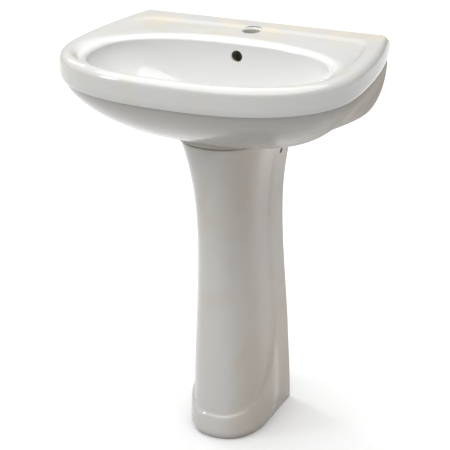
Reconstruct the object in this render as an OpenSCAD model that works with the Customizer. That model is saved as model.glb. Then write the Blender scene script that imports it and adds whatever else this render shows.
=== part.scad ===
// Pedestal sink: a one-hole china basin on a full-height china pedestal,
// with its click waste and its bottle trap inside the column.
// Origin: on the floor, under the middle of the basin. +Y is the wall, +Z is up.

/* [Overall] */
// Height of the rim above the floor
rim_height = 835; // [790:5:880]
// Width of the basin at its widest
basin_w = 612; // [580:1:640]
// Depth of the basin from its front to the wall
basin_d = 445; // [430:1:465]
// Height of the basin from the pedestal's seat to the rim
basin_h = 180; // [172:1:190]

/* [Basin] */
// Width of the back edge, between the two back corners
back_w = 550; // [520:1:570]
// Height of the rolled rim at the front
roll_front = 55; // [48:1:60]
// Height of the rolled rim at the wall
roll_back = 40; // [34:1:46]
// How far the bowl's underside steps in below the roll
roll_step = 6.3; // [3:0.1:9]
// Half-width of the bowl's mouth
bowl_half_w = 238; // [225:1:245]
// Depth of the bowl from the rim to the waste
bowl_depth = 143; // [130:1:148]
// Distance from the wall to the back of the bowl
deck_d = 130; // [125:1:138]
// How far the deck lies below the rim
deck_recess = 3; // [2:0.5:6]
// Thickness of the china
china_t = 11; // [10:0.5:12]

/* [Holes] */
// Diameter of the tap hole
tap_hole_d = 35; // [32:0.5:36]
// Distance from the wall to the middle of the tap hole
tap_from_wall = 61; // [60:1:66]
// Diameter of the overflow hole
overflow_d = 23; // [18:0.5:25]
// Distance from the rim down to the middle of the overflow hole
overflow_down = 38; // [36:1:42]
// Distance from the wall to the middle of the waste
waste_from_wall = 210; // [206:1:214]
// Distance between the two wall fixing holes
wall_fix_spacing = 280; // [240:5:320]
// Diameter of the wall fixing holes
wall_fix_d = 14; // [10:0.5:16]

/* [Pedestal] */
// Half-width of the foot
foot_half_w = 77; // [73:1:82]
// Half-width of the waist
waist_half_w = 59; // [58:1:64]
// Half-width of the top
top_half_w = 92; // [90:1:98]
// Depth of the pedestal from its foot's front to its open back
pedestal_d = 225; // [220:1:232]
// Gap from the pedestal's back to the wall
pedestal_gap = 44; // [38:1:50]
// Height of the foot's raised ridge at the front
ridge_h = 50; // [40:1:60]
// How far the foot's skirt stands proud of the column
skirt_proud = 8; // [5:0.5:9]
// Thickness of the pedestal's wall
pedestal_t = 10; // [9:0.5:11]
// Distance between the two floor fixing holes
floor_fix_spacing = 96; // [90:1:100]

/* [Waste and trap] */
// How far the plug lifts
plug_lift = 9; // [6:0.5:10]
// Length of the waste's threaded tail below its flange
tail_l = 98; // [94:1:100]
// Outer radius of the trap's cup
cup_r = 35.5; // [34:0.5:36]
// Height of the trap's cup
cup_h = 72; // [66:1:80]

/* [Hidden] */

china = [0.93, 0.92, 0.89];
chrome = [0.80, 0.81, 0.83];
white_plastic = [0.94, 0.94, 0.92];
black_rubber = [0.12, 0.12, 0.12];

// planes of the basin
half_d = basin_d / 2;
seat_z = rim_height - basin_h;
dish_z = rim_height - bowl_depth;
drain_y = half_d - waste_from_wall;
tap_y = half_d - tap_from_wall;
crease_y = half_d - deck_d;
overflow_z = rim_height - overflow_down;

// the D-shaped outline of the rim, and how it closes in below the roll
rim_mid_y = -11;
rim_power = 2.46;
corner_r = 9;
neck_half_w = 126;
neck_front_y = 0;
neck_mid_y = 70;
neck_back_w = 200;
belly_p = 1.38;
belly_q = 1.77;
back_p = 2.0;
back_q = 1.87;
roll_r = 18;

// the bowl's mouth, as two half superellipses about its widest line
bowl_mid_y = -45;
bowl_front_y = -half_d + 37;
bowl_power = 2.5;
crease_r = 9;
bowl_p = 1.35;
bowl_q = 1.9;
dish_r = 36;
flange_seat_r = 33.5;
flange_seat_down = 3.5;

// points round a ring: front quarter, side, back corner, back edge
N_FRONT = 10;
N_SIDE = 4;
N_CORNER = 3;
N_BACK = 4;
N_HALF = N_FRONT + N_SIDE + N_CORNER + N_BACK;

function smooth(t) = let (u = min(1, max(0, t))) u * u * (3 - 2 * u);
function mix(a, b, t) = a + (b - a) * t;
function spow(v, e) = pow(max(0, v), e);
function mirrored(half) = concat(half,
    [for (i = [len(half) - 2:-1:1]) [-half[i][0], half[i][1], half[i][2]]]);

// one closed skin through rings of equal length, flat at both ends
module loft(rings) {
    n = len(rings[0]);
    last = len(rings) - 1;
    points = [for (r = rings) for (p = r) p];
    sides = [for (k = [0:last - 1]) for (i = [0:n - 1]) let (j = (i + 1) % n)
        each [[k * n + i, k * n + j, (k + 1) * n + j], [k * n + i, (k + 1) * n + j, (k + 1) * n + i]]];
    start = [for (i = [n - 1:-1:0]) i];
    end = [for (i = [0:n - 1]) last * n + i];
    polyhedron(points, concat(sides, [start, end]), convexity = 10);
}

// right half of a D outline, from the middle of the front to the middle of the back
function d_outline(a, b, front, mid, back, power, rc) = [
    for (i = [0:N_HALF])
        i <= N_FRONT
            ? let (u = 90 * i / N_FRONT)
                [a * spow(sin(u), 2 / power), mid - (mid - front) * spow(cos(u), 2 / power)]
        : i <= N_FRONT + N_SIDE
            ? let (t = (i - N_FRONT) / N_SIDE)
                [mix(a, b, a > b ? t * t : 1 - pow(1 - t, 1.5)), mix(mid, back - rc, t)]
        : i <= N_FRONT + N_SIDE + N_CORNER
            ? let (u = 90 * (i - N_FRONT - N_SIDE) / N_CORNER)
                [b - rc * (1 - cos(u)), back - rc * (1 - sin(u))]
            : let (t = (i - N_FRONT - N_SIDE - N_CORNER) / N_BACK) [(b - rc) * (1 - t), back]
];

// the direction, seen from the bowl's middle, that goes with each point of the outline
function ring_angle(i) = i <= N_FRONT ? -90 + 90 * i / N_FRONT : 90 * (i - N_FRONT) / (N_HALF - N_FRONT);

// right half of the bowl's mouth, grown by e
function bowl_outline(e) = [
    for (i = [0:N_HALF])
        let (u = ring_angle(i),
             b = u < 0 ? bowl_mid_y - bowl_front_y : crease_y - bowl_mid_y)
        [(bowl_half_w + e) * spow(cos(u), 2 / bowl_power),
         bowl_mid_y + sign(u) * (b + e) * spow(abs(sin(u)), 2 / bowl_power)]
];
function circle_outline(r) = [
    for (i = [0:N_HALF])
        [r * cos(ring_angle(i)), drain_y + r * sin(ring_angle(i))]
];
function mix_outline(p, q, t) = [for (i = [0:N_HALF]) mix(p[i], q[i], t)];
function at_height(outline, z) = mirrored([for (p = outline) [p[0], p[1], z]]);

// rim: outline drawn in by e, and the height of the line below the roll
function rim_outline(e) = rim_at(e, min(e, 5));
function rim_at(e, back) = d_outline(basin_w / 2 - e, back_w / 2 - 0.6 * e, -half_d + e, rim_mid_y,
                                     half_d - back, rim_power, corner_r);
function roll_h(y) = mix(roll_back, roll_front, (half_d - y) / basin_d);
function under_roll(e, above) = mirrored([
    for (p = rim_at(e, 0)) [p[0], p[1], rim_height - roll_h(p[1]) + above]
]);

// the top, from the crest of the roll (w = 0) to the bowl's crease (w = 1)
function top_ring(w) =
    let (crest = rim_outline(roll_r), mouth = bowl_outline(crease_r))
    mirrored([for (i = [0:N_HALF])
        let (p = mix(crest[i], mouth[i], w),
             len_i = norm(mouth[i] - crest[i]),
             back_part = deck_recess * smooth((p[1] + 20) / 120),
         dip = back_part * smooth((w - 0.33) * len_i / 14) + (rim_height - crease_z - back_part) * w * w)
        [p[0], p[1], rim_height - dip]]);
crease_z = rim_height - deck_recess - 3;

// the bowl, from its crease (t = 0) to the dish round the waste (t = 1), thickened by e
function bowl_ring(t, e) = at_height(
    mix_outline(circle_outline(dish_r + e), bowl_outline(e), spow(1 - pow(t, bowl_p), 1 / bowl_q)),
    mix(crease_z - crease_r, dish_z, t) - e * t);

// the underside, from the roll (t = 0) to the flat round the pedestal (t = 1), drawn in by e
function belly_ring(t, e) =
    let (h = spow(1 - pow(t, belly_p), 1 / belly_q),
         hb = spow(1 - pow(t, back_p), 1 / back_q),
         outline = d_outline(mix(neck_half_w, basin_w / 2 - roll_step, h) - e,
                             mix(neck_back_w, back_w / 2 - 0.6 * roll_step, hb) - e,
                             mix(neck_front_y, -half_d + roll_step, h) + e,
                             mix(neck_mid_y, rim_mid_y, h), half_d - e, rim_power, corner_r))
    mirrored([for (p = outline)
        [p[0], p[1], mix(rim_height - roll_h(p[1]), seat_z + e, t)]]);

BOWL_STEPS = [0.06, 0.17, 0.31, 0.47, 0.63, 0.77, 0.88, 0.95, 0.985, 1];
BELLY_STEPS = [0.08, 0.2, 0.34, 0.48, 0.62, 0.75, 0.86, 0.94, 0.985, 1];
HOLLOW_STEPS = [0.2, 0.48, 0.75, 0.94, 1];
BOWL_BACK_STEPS = [0.17, 0.47, 0.77, 0.95, 1];

module basin_skin() {
    loft(concat(
        [at_height(circle_outline(flange_seat_r), dish_z - flange_seat_down)],
        [at_height(circle_outline(flange_seat_r), dish_z)],
        [for (k = [len(BOWL_STEPS) - 1:-1:0]) bowl_ring(BOWL_STEPS[k], 0)],
        [for (u = [90, 60, 30])
            at_height(bowl_outline(crease_r * (1 - sin(u))), crease_z - crease_r * (1 - cos(u)))],
        [for (w = [1, 0.75, 0.5, 0.42, 0.34]) top_ring(w)],
        [for (u = [0, 25, 50, 75])
            at_height(rim_outline(roll_r * (1 - sin(u))), rim_height - roll_r * (1 - cos(u)))],
        [under_roll(0, 14), under_roll(0.3 * roll_step, 4), under_roll(roll_step, 0)],
        [for (t = BELLY_STEPS) belly_ring(t, 0)]));
}

// the hollow between the bowl and the outer skin
module basin_hollow() {
    loft(concat(
        [at_height(rim_at(roll_r, roll_r), crease_z - china_t)],
        [mirrored([for (p = rim_at(roll_step + china_t, china_t + 2))
            [p[0], p[1], rim_height - roll_h(p[1]) - 2]])],
        [for (t = HOLLOW_STEPS) belly_ring(t, china_t)]));
}

module bowl_back_of_china() {
    loft(concat(
        [at_height(bowl_outline(crease_r + china_t), rim_height - 4)],
        [at_height(bowl_outline(crease_r + china_t), crease_z - china_t)],
        [for (t = BOWL_BACK_STEPS) bowl_ring(t, china_t)]));
}

// the open back below the strip that takes the wall fixings
strip_z = rim_height - 77;
module back_opening() {
    translate([0, half_d + 5, 0])
        rotate([90, 0, 0])
            linear_extrude(height = 40)
                polygon([[-236, strip_z], [236, strip_z], [228, strip_z - 60], [180, seat_z + 14],
                         [-180, seat_z + 14], [-228, strip_z - 60]]);
}

// the opening over the pedestal, for the waste and the pipes
opening_half_w = top_half_w - 22;
module neck_opening() {
    front = pedestal_front(pedestal_h) + 24;
    translate([0, 0, seat_z - 10])
        linear_extrude(height = china_t + 20)
            union() {
                translate([-opening_half_w, front + opening_half_w])
                    square([2 * opening_half_w, half_d]);
                translate([0, front + opening_half_w])
                    circle(r = opening_half_w, $fn = 48);
            }
}

// the overflow's way down: behind the bowl, then forward to the waste
duct_r = 7.5;
duct_top = [0, crease_y + 16, overflow_z + 4];
duct_foot = [0, crease_y - 4, seat_z + 15];
duct_run = duct_top - duct_foot;
module duct_down(r, past) {
    translate(duct_foot)
        rotate([-atan2(duct_run[1], duct_run[2]), 0, 0])
            cylinder(r = r, h = norm(duct_run) + past);
}
module duct_forward(r) {
    translate([0, drain_y, duct_foot[2]])
        rotate([-90, 0, 0])
            cylinder(r = r, h = duct_foot[1] - drain_y + 3);
}

boss_r = 38;
drain_hole_r = 23;
chamber_r = 27;
module drain_boss() {
    translate([0, drain_y, seat_z])
        cylinder(r = boss_r, h = dish_z - seat_z - flange_seat_down - 1, $fn = 48);
    translate([-duct_r - 8, drain_y, seat_z])
        cube([2 * (duct_r + 8), duct_foot[1] - drain_y + duct_r + 6, 28]);
}

// the overflow's passages, from its hole to the chamber round the waste, and the way in
module overflow_passages() {
    translate([0, drain_y, seat_z - 1])
        cylinder(r = drain_hole_r - 3, h = basin_h, $fn = 32);
    duct_down(duct_r, 0, $fn = 24);
    duct_forward(duct_r, $fn = 24);
    translate([0, drain_y, duct_foot[2] - duct_r])
        cylinder(r = chamber_r, h = 2 * duct_r, $fn = 48);
}

module basin_body() {
    difference() {
        union() {
            difference() {
                union() {
                    basin_skin();
                    seat_boss();
                }
                difference() {
                    union() {
                        basin_hollow();
                        back_opening();
                    }
                    bowl_back_of_china();
                }
                neck_opening();
            }
            difference() {
                union() {
                    drain_boss();
                    duct_down(duct_r + 7, 5, $fn = 24);
                }
                basin_clear_of_bowl();
            }
        }
        overflow_passages();
        tap_lip();
    }
}

module basin() {
    color(china)
        difference() {
            resize([0, 0, 0])
                basin_body();
            translate([0, tap_y, deck_z - 30])
                cylinder(d = tap_hole_d, h = 40, $fn = 64);
            translate([0, drain_y, seat_z - 1])
                cylinder(r = drain_hole_r, h = basin_h, $fn = 64);
            translate([0, crease_y - 18, overflow_z])
                rotate([-90, 0, 0])
                    cylinder(d = overflow_d, h = 34, $fn = 64);
            for (side = [-1, 1])
                translate([side * wall_fix_spacing / 2, half_d + 1, rim_height - 50])
                    rotate([90, 0, 0])
                        cylinder(d = wall_fix_d, h = 40, $fn = 48);
        }
}

// the space inside the bowl, which the boss and the duct must not enter
module basin_clear_of_bowl() {
    loft(concat(
        [at_height(bowl_outline(0), rim_height + 5)],
        [for (t = BOWL_STEPS) bowl_ring(t, 0)],
        [at_height(circle_outline(flange_seat_r), dish_z)],
        [at_height(circle_outline(flange_seat_r), dish_z - flange_seat_down)]));
}

// the soft lip round the tap hole
tap_lip_r = 4.5;
deck_z = crease_z + 3;
module tap_lip() {
    r = tap_hole_d / 2 + 0.3;
    translate([0, tap_y, 0])
        rotate_extrude($fn = 48)
            polygon(concat(
                [[0, deck_z + 8], [0, deck_z - tap_lip_r]],
                [for (u = [15:15:90])
                    [r + tap_lip_r * (1 - cos(u)), deck_z - tap_lip_r * (1 - sin(u))]],
                [[r + tap_lip_r, deck_z + 8]]));
}

/* ---------- pedestal ---------- */

seal_t = 3;
pedestal_h = seat_z - seal_t;
pedestal_back = half_d - pedestal_gap;
foot_front = pedestal_back - pedestal_d;
waist_z = 0.66 * pedestal_h;
column_power = 2.27;
straight_part = 0.54;
ridge_top = 250;
ridge_back = foot_front + 162;
ridge_power = 1.45;
ridge_blend = 9;

// P_FRONT and P_SIDE points make the right half of the column's U
P_FRONT = 14;
P_SIDE = 6;
P_HALF = P_FRONT + P_SIDE;

function column_half_w(z) = z < waist_z
    ? mix(waist_half_w, foot_half_w, pow((1 + cos(180 * z / waist_z)) / 2, 0.8))
    : mix(waist_half_w, top_half_w, pow((z - waist_z) / (pedestal_h - waist_z), 2.5));
function pedestal_front(z) = z < waist_z
    ? mix(foot_front + 6, foot_front, (1 + cos(180 * z / waist_z)) / 2)
    : mix(foot_front + 6, foot_front - 10, pow((z - waist_z) / (pedestal_h - waist_z), 2));

// right half of the U at height z, drawn in by e all round
function u_outline(z, e) =
    let (w = column_half_w(z) - e, front = pedestal_front(z) + e,
         mid = pedestal_back - straight_part * (pedestal_back - pedestal_front(z)))
    [for (i = [0:P_HALF])
        i <= P_FRONT
            ? let (u = 90 * i / P_FRONT)
                [w * spow(sin(u), 2 / column_power), mid - (mid - front) * spow(cos(u), 2 / column_power)]
            : [w, mix(mid, pedestal_back, (i - P_FRONT) / P_SIDE)]];

// the skirt: a U-shaped ridge, low at the front and rising up the sides, swelling towards
// its middle and drawn back to the column at the floor and along the back
function ridge_z(y) =
    let (a = min(1, max(0, y - foot_front) / (ridge_back - foot_front)))
    mix(ridge_top, ridge_h, sqrt(1 - pow(a, ridge_power)));
function skirt(y, z) =
    let (top = ridge_z(y), f = min(1, z / top),
         swell = sin(90 * min(1, 3 * f)) * (1 - 0.25 * f * f))
    skirt_proud * swell * (1 - smooth((z - top) / ridge_blend))
        * (1 - smooth((y - ridge_back + 45) / 60)) * (1 - smooth((z - 120) / 130));

function pedestal_ring(z) =
    let (p = u_outline(z, 0), q = u_outline(z, -1))
    mirrored([for (i = [0:P_HALF])
        let (outward = q[i] - p[i], d = skirt(p[i][1], z))
        [p[i][0] + outward[0] * d, p[i][1] + outward[1] * d, z]]);

// the inside, which runs out through the open back between two return edges
function hollow_ring(z) =
    let (p = u_outline(z, pedestal_t))
    mirrored([for (i = [0:P_HALF])
        [p[i][0], min(p[i][1], pedestal_back - pedestal_t), z]]);

FOOT_STEPS = [0, 12, 24, 34, 42, 50, 58, 66, 76, 88, 102, 118, 136, 156, 178, 202, 230];
COLUMN_STEPS = 13;
COLUMN_ZS = concat(FOOT_STEPS, [for (k = [1:COLUMN_STEPS]) mix(230, pedestal_h - 3, k / COLUMN_STEPS)]);

return_w = 9;
module back_slot() {
    half_w = waist_half_w - pedestal_t - return_w;
    translate([-half_w, pedestal_back - 2 * pedestal_t, -1])
        cube([2 * half_w, 4 * pedestal_t, pedestal_h + 2]);
}

module pedestal_shell() {
    difference() {
        loft(concat(
            [mirrored([for (p = u_outline(pedestal_h, 2.5))
                [p[0], min(p[1], pedestal_back - 1), pedestal_h]])],
            [for (k = [len(COLUMN_ZS) - 1:-1:0]) pedestal_ring(COLUMN_ZS[k])]));
        loft([for (k = [12:-1:-1]) let (z = k * (pedestal_h + 10) / 11.5) shifted_hollow(z)]);
        back_slot();
    }
}
function shifted_hollow(z) = [for (p = hollow_ring(min(pedestal_h, max(0, z)))) [p[0], p[1], z]];

lug_h = 16;
lug_y = pedestal_back - 60;
module floor_lugs() {
    inner = floor_fix_spacing / 2 - 12;
    for (side = [0, 1])
        mirror([side, 0, 0])
            translate([inner, lug_y - 14, 0])
                cube([foot_half_w - pedestal_t + 4 - inner, 28, lug_h]);
}

side_hole_d = 12;
side_hole_z = pedestal_h - 58;
side_hole_y = pedestal_back - 40;
floor_hole_d = 8;
module pedestal() {
    color(china)
        difference() {
            resize([0, 0, 0])
                union() {
                    pedestal_shell();
                    floor_lugs();
                }
            for (side = [-1, 1])
                translate([side * floor_fix_spacing / 2, lug_y, -1])
                    cylinder(d = floor_hole_d, h = lug_h + 2, $fn = 32);
            translate([-top_half_w - 5, side_hole_y, side_hole_z])
                rotate([0, 90, 0])
                    cylinder(d = side_hole_d, h = 2 * top_half_w + 10, $fn = 32);
        }
}

// the flat collar under the bowl that the pedestal stands against
module seat_boss() {
    loft([for (s = [[-12, 20], [-8, 4], [-4, 0]])
        mirrored([for (p = u_outline(pedestal_h, s[0]))
            [p[0], min(p[1], pedestal_back), seat_z + s[1]]])]);
}

module pedestal_seal() {
    outer = mirrored([for (p = u_outline(pedestal_h, 4)) [p[0], p[1], 0]]);
    inner = mirrored([for (p = u_outline(pedestal_h, 9)) [p[0], p[1], 0]]);
    color([0.85, 0.85, 0.83])
        translate([0, 0, pedestal_h])
            linear_extrude(height = seal_t)
                difference() {
                    polygon([for (p = outer) [p[0], min(p[1], pedestal_back - 12)]]);
                    polygon([for (p = inner) [p[0], p[1] + (p[1] > pedestal_back - 20 ? 30 : 0)]]);
                }
}

/* ---------- waste ---------- */

gasket_t = 2;
flange_r = 31.5;
flange_t = 2.6;
tail_r = 20.95;
tail_bore_r = 17.5;
flange_z = dish_z - flange_seat_down + gasket_t;
tail_end_z = flange_z - tail_l;
flange_top_z = flange_z + flange_t;
spider_z = flange_z - 38;
spider_t = 5;
cartridge_r = 9;

module on_waste() {
    translate([0, drain_y, 0])
        children();
}

// the turned flange and tail in one profile; the thread is left plain
module waste_body() {
    color(chrome)
        on_waste()
            union() {
                difference() {
                    rotate_extrude($fn = 96)
                        polygon([[tail_bore_r, tail_end_z], [tail_r - 1, tail_end_z],
                                 [tail_r, tail_end_z + 1], [tail_r, flange_z],
                                 [flange_r - 0.8, flange_z], [flange_r, flange_z + 0.6],
                                 [flange_r - 0.4, flange_z + 1.6], [flange_r - 2, flange_top_z],
                                 [24, flange_top_z], [22.6, flange_top_z - 0.8],
                                 [tail_bore_r, flange_z - 4.5]]);
                    for (side = [0, 180])
                        rotate([0, 0, side])
                            translate([tail_bore_r - 2, -7, duct_foot[2] - 6])
                                cube([8, 14, 12]);
                }
                spider();
            }
}

// the cross that holds the plug's cartridge in the middle of the tail
module spider() {
    difference() {
        union() {
            translate([0, 0, spider_z])
                cylinder(r = cartridge_r + 3, h = spider_t, $fn = 48);
            for (turn = [0, 90])
                rotate([0, 0, turn])
                    translate([-tail_bore_r - 1, -1.5, spider_z + 0.5])
                        cube([2 * tail_bore_r + 2, 3, spider_t - 1]);
        }
        translate([0, 0, spider_z - 1])
            cylinder(r = cartridge_r + 0.05, h = spider_t + 2, $fn = 48);
    }
}

module ring(r_out, r_in, h) {
    difference() {
        cylinder(r = r_out, h = h, $fn = 72);
        translate([0, 0, -1])
            cylinder(r = r_in, h = h + 2, $fn = 72);
    }
}

module waste_top_gasket() {
    color(black_rubber)
        on_waste()
            translate([0, 0, flange_z - gasket_t])
                ring(29.5, 21.1, gasket_t);
}

washer_t = 6;
module waste_bottom_washer() {
    color(black_rubber)
        on_waste()
            translate([0, 0, seat_z - washer_t])
                difference() {
                    union() {
                        translate([0, 0, 2])
                            cylinder(r = 31, h = washer_t - 2, $fn = 72);
                        cylinder(r1 = 28, r2 = 31, h = 2, $fn = 72);
                    }
                    translate([0, 0, -1])
                        cylinder(r = 21.1, h = washer_t + 2, $fn = 72);
                }
}

nut_t = 12;
module waste_backnut() {
    color([0.78, 0.62, 0.30])
        on_waste()
            translate([0, 0, seat_z - washer_t - nut_t])
                difference() {
                    union() {
                        cylinder(r = 30, h = nut_t - 2, $fn = 6);
                        translate([0, 0, nut_t - 3])
                            cylinder(r = 31, h = 3, $fn = 72);
                    }
                    translate([0, 0, -1])
                        cylinder(r = 21.1, h = nut_t + 2, $fn = 72);
                }
}

/* ---------- click plug, drawn open ---------- */

cap_r = 30;
cap_gap = 0.5;
cap_z = flange_top_z + cap_gap + plug_lift;
cap_t = 3.2;
dome_h = 3;
stem_r = 4;
stem_collar_r = 6.6;
cartridge_top = spider_z + spider_t + 5;
cartridge_bottom = cartridge_top - 30;
guide_top = cartridge_bottom + 9;
spring_top = cartridge_top + plug_lift - 2;
plug_seal_t = 4;

module plug_cap() {
    dome_r = (cap_r * cap_r + dome_h * dome_h) / (2 * dome_h);
    color(chrome)
        on_waste()
            rotate_extrude($fn = 96)
                polygon(concat(
                    [[0, cap_z], [cap_r - 1.2, cap_z], [cap_r, cap_z + 1], [cap_r, cap_z + 2.2]],
                    [for (k = [1:8]) let (r = (cap_r - 0.4) * (1 - k / 8))
                        [r, cap_z + cap_t - dome_r + dome_h + sqrt(dome_r * dome_r - r * r) - 0.3]]));
}

module plug_seal() {
    color(black_rubber)
        on_waste()
            difference() {
                union() {
                    translate([0, 0, cap_z - 2])
                        cylinder(r = 20.5, h = 2, $fn = 72);
                    translate([0, 0, cap_z - plug_seal_t])
                        cylinder(r1 = 18, r2 = 20, h = plug_seal_t - 2, $fn = 72);
                }
                translate([0, 0, cap_z - plug_seal_t - 1])
                    cylinder(r = stem_r + 0.1, h = plug_seal_t + 2, $fn = 48);
            }
}

module plug_stem() {
    color([0.75, 0.75, 0.74])
        on_waste() {
            translate([0, 0, cartridge_bottom + plug_lift - 5])
                cylinder(r = stem_r, h = cap_z - cartridge_bottom - plug_lift + 5, $fn = 48);
            translate([0, 0, spring_top])
                cylinder(r = stem_collar_r, h = 3, $fn = 48);
        }
}

module plug_cartridge() {
    color(white_plastic)
        on_waste()
            difference() {
                union() {
                    translate([0, 0, cartridge_bottom])
                        cylinder(r = cartridge_r, h = cartridge_top - cartridge_bottom, $fn = 64);
                    translate([0, 0, spider_z + spider_t])
                        cylinder(r = cartridge_r + 2.5, h = 2.5, $fn = 64);
                }
                translate([0, 0, cartridge_bottom - 1])
                    cylinder(r = stem_r + 0.08, h = 40, $fn = 64);
                translate([0, 0, guide_top])
                    cylinder(r = stem_collar_r + 0.3, h = 40, $fn = 64);
            }
}

// a coil spring, swept as eight-sided wire
spring_wire_r = 0.55;
spring_r = 5.5;
spring_turns = 6;
SPRING_STEPS = 16;
module plug_spring() {
    z0 = guide_top + spring_wire_r;
    z1 = spring_top - spring_wire_r;
    steps = spring_turns * SPRING_STEPS;
    color([0.70, 0.71, 0.72])
        on_waste()
            loft([for (k = [0:steps])
                let (a = 360 * k / SPRING_STEPS, z = mix(z0, z1, k / steps))
                [for (m = [0:7])
                    let (b = 45 * m, r = spring_r + spring_wire_r * cos(b))
                    [r * cos(a), r * sin(a), z + spring_wire_r * sin(b)]]]);
}

/* ---------- bottle trap ---------- */

inlet_seal_t = 3;
collar_z = tail_end_z - inlet_seal_t - 4;
neck_r = 18.8;
neck_bore_r = 16.1;
head_top_z = collar_z - 14;
head_r = 34;
head_h = 42;
shoulder_z = head_top_z - head_h;
spigot_r = 31;
spigot_h = 15;
outlet_z = shoulder_z + 21;
outlet_r = 18;
outlet_thread_r = 20.5;
outlet_end_y = 68;
pipe_r = 16.3;

module trap_inlet_nut() {
    color(white_plastic)
        on_waste()
            translate([0, 0, collar_z - 5])
                difference() {
                    union() {
                        cylinder(r = 25.5, h = 27, $fn = 96);
                        for (k = [0:11])
                            rotate([0, 0, 30 * k])
                                translate([24, -2, 2])
                                    cube([3.4, 4, 21]);
                    }
                    translate([0, 0, -1])
                        cylinder(r = neck_r + 0.3, h = 30, $fn = 72);
                    translate([0, 0, 4.8])
                        cylinder(r = tail_r + 0.1, h = 30, $fn = 72);
                }
}

module trap_inlet_seal() {
    color(black_rubber)
        on_waste()
            translate([0, 0, tail_end_z - inlet_seal_t])
                ring(20.3, 15, inlet_seal_t);
}

module trap_head() {
    color(white_plastic)
        on_waste()
            difference() {
                union() {
                    translate([0, 0, head_top_z - 1])
                        cylinder(r = neck_r, h = collar_z - head_top_z + 1, $fn = 72);
                    translate([0, 0, collar_z])
                        cylinder(r = 20.6, h = 4, $fn = 72);
                    rotate_extrude($fn = 96)
                        polygon(concat(
                            [[0, shoulder_z], [head_r, shoulder_z]],
                            [for (u = [0:15:90])
                                [head_r - 8 + 8 * cos(u), head_top_z - 8 + 8 * sin(u)]],
                            [[0, head_top_z]]));
                    translate([0, 0, shoulder_z - spigot_h])
                        cylinder(r = spigot_r, h = spigot_h + 1, $fn = 96);
                    translate([0, 20, outlet_z])
                        rotate([-90, 0, 0])
                            cylinder(r = outlet_r, h = outlet_end_y - 20, $fn = 72);
                    translate([0, outlet_end_y - 16, outlet_z])
                        rotate([-90, 0, 0])
                            cylinder(r = outlet_thread_r, h = 16, $fn = 72);
                }
                translate([0, 0, shoulder_z - spigot_h - 1])
                    cylinder(r = 28, h = head_h + spigot_h - 4, $fn = 96);
                translate([0, 0, shoulder_z])
                    cylinder(r = neck_bore_r, h = 90, $fn = 72);
                translate([0, 20, outlet_z])
                    rotate([-90, 0, 0])
                        cylinder(r = 14.5, h = 90, $fn = 72);
            }
}

module trap_dip_tube() {
    color(white_plastic)
        on_waste()
            translate([0, 0, shoulder_z - 52])
                ring(neck_bore_r - 0.1, 14.2, collar_z + 4 - shoulder_z + 52);
}

cup_top_z = shoulder_z - 2.5;
cup_bore_r = spigot_r + 0.3;
module trap_cup() {
    floor_z = cup_top_z - cup_h;
    color(white_plastic)
        on_waste()
            difference() {
                union() {
                    rotate_extrude($fn = 96)
                        polygon(concat(
                            [[0, floor_z]],
                            [for (u = [-90:15:0])
                                [cup_r - 10 + 10 * cos(u), floor_z + 10 + 10 * sin(u)]],
                            [[cup_r, cup_top_z], [0, cup_top_z]]));
                    for (k = [0:15])
                        rotate([0, 0, 22.5 * k])
                            translate([cup_r - 1, -1.5, cup_top_z - 22])
                                cube([2.6, 3, 20]);
                }
                rotate_extrude($fn = 96)
                    polygon(concat(
                        [[0, floor_z + 3]],
                        [for (u = [-90:15:0])
                            [cup_bore_r - 9 + 9 * cos(u), floor_z + 12 + 9 * sin(u)]],
                        [[cup_bore_r, cup_top_z + 1], [0, cup_top_z + 1]]));
            }
}

module cup_seal() {
    color(black_rubber)
        on_waste()
            translate([0, 0, cup_top_z])
                ring(head_r, spigot_r + 0.3, shoulder_z - cup_top_z);
}

outlet_seal_t = 3;
module trap_outlet_seal() {
    color(black_rubber)
        on_waste()
            translate([0, outlet_end_y, outlet_z])
                rotate([-90, 0, 0])
                    ring(20, pipe_r, outlet_seal_t);
}

module trap_outlet_nut() {
    color(white_plastic)
        on_waste()
            translate([0, outlet_end_y - 14, outlet_z])
                rotate([-90, 0, 0])
                    difference() {
                        union() {
                            cylinder(r = 24.5, h = 24, $fn = 96);
                            for (k = [0:11])
                                rotate([0, 0, 30 * k])
                                    translate([23, -2, 2])
                                        cube([3.4, 4, 18]);
                        }
                        translate([0, 0, -1])
                            cylinder(r = outlet_thread_r + 0.1, h = 18.1, $fn = 72);
                        translate([0, 0, -1])
                            cylinder(r = pipe_r, h = 30, $fn = 72);
                    }
}

basin();
pedestal();
pedestal_seal();
waste_body();
waste_top_gasket();
waste_bottom_washer();
waste_backnut();
plug_cap();
plug_seal();
plug_stem();
plug_cartridge();
plug_spring();
trap_inlet_nut();
trap_inlet_seal();
trap_head();
trap_dip_tube();
trap_cup();
cup_seal();
trap_outlet_nut();
trap_outlet_seal();
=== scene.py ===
import math

import bmesh
import bpy
from mathutils import Matrix, Vector


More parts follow.
